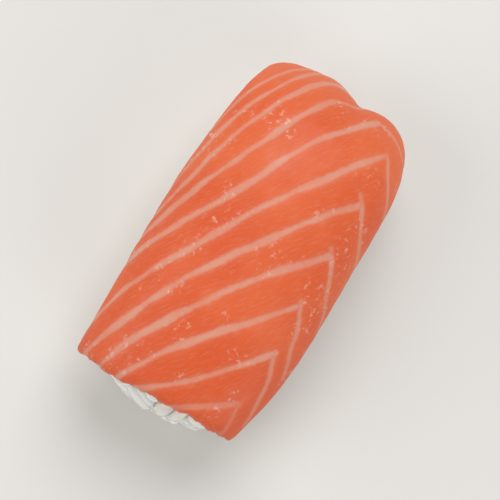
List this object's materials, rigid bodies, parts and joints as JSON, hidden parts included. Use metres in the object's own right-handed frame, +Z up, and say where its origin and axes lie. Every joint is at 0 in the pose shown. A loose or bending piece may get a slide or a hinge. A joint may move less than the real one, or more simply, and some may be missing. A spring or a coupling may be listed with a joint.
{
  "type": "salmon nigiri",
  "caption": "Piece of nigiri sushi: an oblong pressed bed of cooked rice under a draped slice of raw salmon with pale chevron fat lines, hanging lower at its rounded end.",
  "frame": {"origin": "on the table, under the middle of the piece's bounding box", "axes": "+X along the piece towards the rounded end where the slice hangs lowest, +Y across it, +Z up"},
  "size_m": [0.0594, 0.0315, 0.0256],
  "materials": {
    "rice": "moist cooked rice, slightly translucent and softly glossy",
    "salmon": "raw salmon, moist, with soft pale fat lines"
  },
  "bodies": {
    "root": {"rice_bed": "rice", "salmon_slice": "salmon"}
  },
  "joints": []
}
